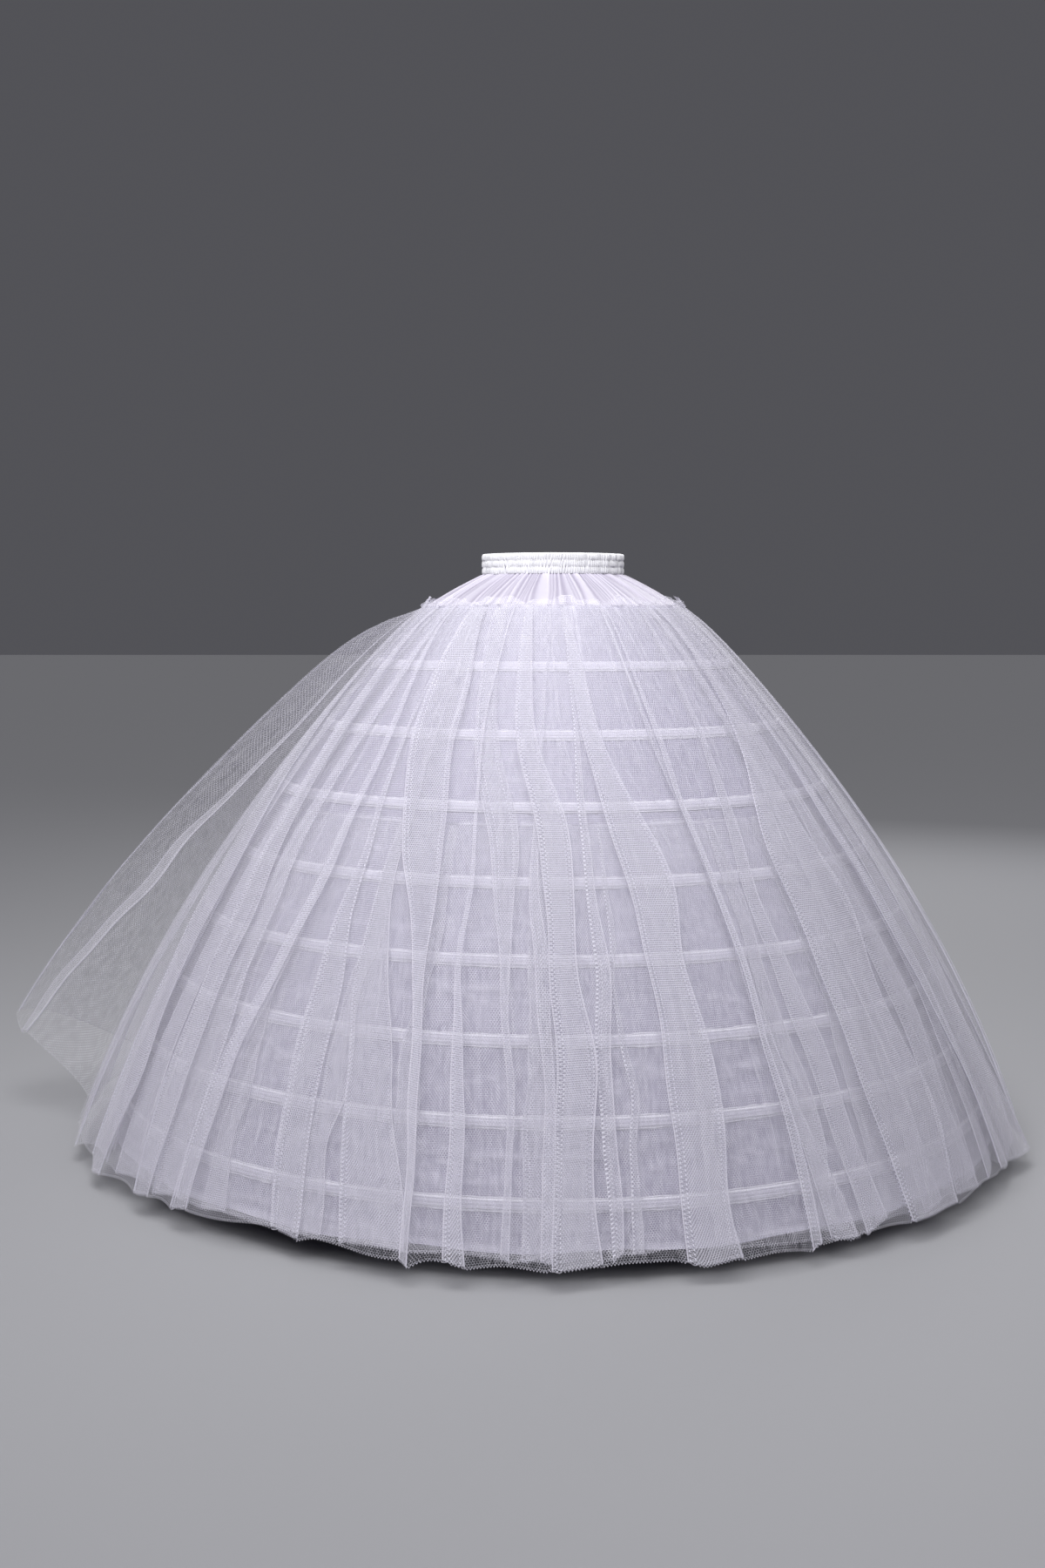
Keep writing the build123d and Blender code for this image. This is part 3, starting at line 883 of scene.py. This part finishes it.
# %% Waistband
BAND_COLUMNS = 1080
BAND_STEPS = 22
RUCHE_ROWS = 3
RUCHES_ROUND = 192
RUCHE_RISE = 0.0029
TOP_FOLD = 0.0006  # the rounded top edge rises this much above the two sides
inner_half = Vector((0.120, 0.094))
wall = WAIST_OUTER.x - inner_half.x
side = np.linspace(0, 1, BAND_STEPS)
turn = np.linspace(0, 2 * np.pi, BAND_COLUMNS, endpoint=False)[None, :]
level_out = WAIST_BOTTOM * side
bulge = np.abs(np.sin(np.pi * side * RUCHE_ROWS)) ** 0.6
outside_off = wall + 0.0006 * bulge
inside_off = -0.0002 - 0.0002 * bulge
section_off = np.concatenate([inside_off[::-1], [wall * 0.3, wall * 0.7], outside_off])
section_level = np.concatenate([level_out[::-1], [-TOP_FOLD, -TOP_FOLD], level_out]) + TOP_FOLD
section_side = np.concatenate([np.zeros(BAND_STEPS), [0.3, 0.7], np.ones(BAND_STEPS)])
section_bulge = np.concatenate([bulge[::-1], [0.3, 0.3], bulge])
section_row = np.concatenate([side[::-1], [0, 0], side]) * RUCHE_ROWS
beat = RUCHES_ROUND / 2 * turn + 1.6 * np.sin(turn * 9) + 1.2 * np.sin(turn * 21 + 1)
beat = beat + 0.7 * np.sin(turn * 37)
row_lag = 0.9 * np.sin(np.floor(section_row)[:, None] * 2.1 + turn * 11)
ruche = np.abs(np.sin(beat + row_lag)) ** 0.8 + 0.35 * np.sin(beat * 1.7 + row_lag)
amount = RUCHE_RISE * section_side[:, None] * (0.55 + 0.45 * section_bulge[:, None])
off = section_off[:, None] + amount * (ruche - 0.6)
wobble = 0.0007 * np.sin(turn * 15 + 1) + 0.0005 * ruche
level = section_level[:, None]
next_to_fold = (level > 0.0005) & (level < 0.004)
height = np.where(next_to_fold, wobble, 0.0) - level
height = np.minimum(height, 0)
points = np.stack([(inner_half.x + off) * np.cos(turn), (inner_half.y + off) * np.sin(turn), height], -1)
across = np.broadcast_to(turn * 0.12 * 2.2, height.shape)
up = np.broadcast_to(np.linspace(0, 0.07, len(section_off))[:, None], height.shape)
band = cloth_mesh("band", points, across, up, {}, band_cotton, closed=True)
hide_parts("waistband_casing")
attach(band, "root")
print("band area", round(cloth_area(band), 4))

# %% [markdown]
# ## Hidden parts
# The hoops, their joiners and the elastic are inside the cloth. They keep their CAD shapes and get their
# real finish, because they show where the petticoat is cut open or seen through. None of them has texture
# coordinates, so their patterns are laid out in the object's own metres.

# %% Coated steel, zinc and elastic


def hard_finish(name, dark, light, grain, roughness, metallic=0.0, relief=0.1):
    """A finish whose pattern is stretched noise: grain is the size in metres along x, y and z."""
    material, tree, shader = new_material(name, roughness)
    place = add(tree, "ShaderNodeTexCoord").outputs["Object"]
    per_metre = [1 / size for size in grain]
    scaled = add(tree, "ShaderNodeMapping", [("Vector", place), ("Scale", per_metre)]).outputs[0]
    spots = add(tree, "ShaderNodeTexNoise", [("Vector", scaled), ("Scale", 1.0), ("Detail", 3.0)])
    mottle = spots.outputs["Fac"]
    tree.links.new(tint(tree, mottle, dark, light), shader.inputs["Base Color"])
    bump = add(tree, "ShaderNodeBump", [("Height", mottle), ("Strength", relief), ("Distance", 0.0003)])
    tree.links.new(bump.outputs[0], shader.inputs["Normal"])
    shader.inputs["Metallic"].default_value = metallic
    return material


# Nylon dip leaves a faint orange peel about 3 mm across, zinc shows 4 mm spangles, and the elastic's ribs
# run round the waist 1.5 mm apart.
NYLON_GRAIN = (0.003, 0.003, 0.003)
ZINC_GRAIN = (0.004, 0.004, 0.004)
RIB_GRAIN = (0.02, 0.02, 0.0015)
coated_steel = hard_finish("white_nylon_coated_spring_steel", "#E4E4E2", "#F4F4F2", NYLON_GRAIN, 0.35)
zinc_steel = hard_finish("zinc_plated_steel_sleeve", "#B4B7BB", "#D2D4D7", ZINC_GRAIN, 0.3, 1.0)
braided_elastic = hard_finish("braided_elastic", "#D9D9DC", "#F6F6F6", RIB_GRAIN, 0.8, relief=0.5)
finishes = {"bone": coated_steel, "joiner": zinc_steel, "elastic": braided_elastic}
for node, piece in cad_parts.items():
    for word, finish in finishes.items():
        if word in node:
            for spot in piece.material_slots:
                spot.material = finish
print("hidden parts finished")

# %% [markdown]
# ## Floor, light and camera
# A pale floor lies just under the hem. White net shows best against a grey that is darker than itself, so
# the surround is a soft mid grey. A softbox overhead lets the light fall off towards the hem, a second one
# behind lifts the edges, and a wide, weak sun stands in for a window in front.

# %% Studio
FLOOR_DEPTH = 1.02
FLOOR_HALF = 40.0
corner_signs = ((-1, -1), (1, -1), (1, 1), (-1, 1))
floor_corners = [(x * FLOOR_HALF, y * FLOOR_HALF, -FLOOR_DEPTH) for x, y in corner_signs]
floor_mesh = bpy.data.meshes.new("floor")
floor_mesh.from_pydata(floor_corners, [], [(0, 1, 2, 3)])
floor_paint, _, floor_shader = new_material("pale_studio_floor", 0.9)
floor_shader.inputs["Base Color"].default_value = linear("#98989C")
floor_mesh.materials.append(floor_paint)
floor = bpy.data.objects.new("floor", floor_mesh)
bpy.context.scene.collection.objects.link(floor)

world = bpy.data.worlds.new("studio")
world.use_nodes = True
surround = world.node_tree.nodes["Background"]
surround.inputs["Color"].default_value = linear("#5C5C61")
surround.inputs["Strength"].default_value = 0.8
bpy.context.scene.world = world


def soft_light(name, place, target, size, power):
    """A square area light that faces the target."""
    data = bpy.data.lights.new(name, "AREA")
    data.size = size
    data.energy = power
    lamp = bpy.data.objects.new(name, data)
    lamp.location = place
    lamp.rotation_euler = (Vector(target) - Vector(place)).to_track_quat("-Z", "Y").to_euler()
    bpy.context.scene.collection.objects.link(lamp)


soft_light("overhead_softbox", (-0.3, -0.9, 1.9), (0, -0.1, -0.5), 1.6, 70)
soft_light("back_softbox", (1.6, 3.4, 1.4), (0, 0, -0.4), 2.0, 42)
window_data = bpy.data.lights.new("window_light", "SUN")
window_data.energy = 1.3
window_data.angle = math.radians(50)
window_light = bpy.data.objects.new("window_light", window_data)
window_light.rotation_euler = Vector((0.16, 0.66, -1.2)).to_track_quat("-Z", "Y").to_euler()
bpy.context.scene.collection.objects.link(window_light)

# %% Camera
PITCH = 5.53  # degrees below level
camera_data = bpy.data.cameras.new("camera")
camera_data.lens = 39.2
camera = bpy.data.objects.new("camera", camera_data)
camera.location = (-0.054, -3.05, -0.113)
camera.rotation_euler = (math.radians(90 - PITCH), 0, 0)
bpy.context.scene.collection.objects.link(camera)
bpy.context.scene.camera = camera
bpy.context.scene.view_settings.view_transform = "Standard"
bpy.context.scene.cycles.transparent_max_bounces = 32
bpy.context.scene.cycles.diffuse_bounces = 3
print("camera stands", -camera.location.y, "m in front of the axis")
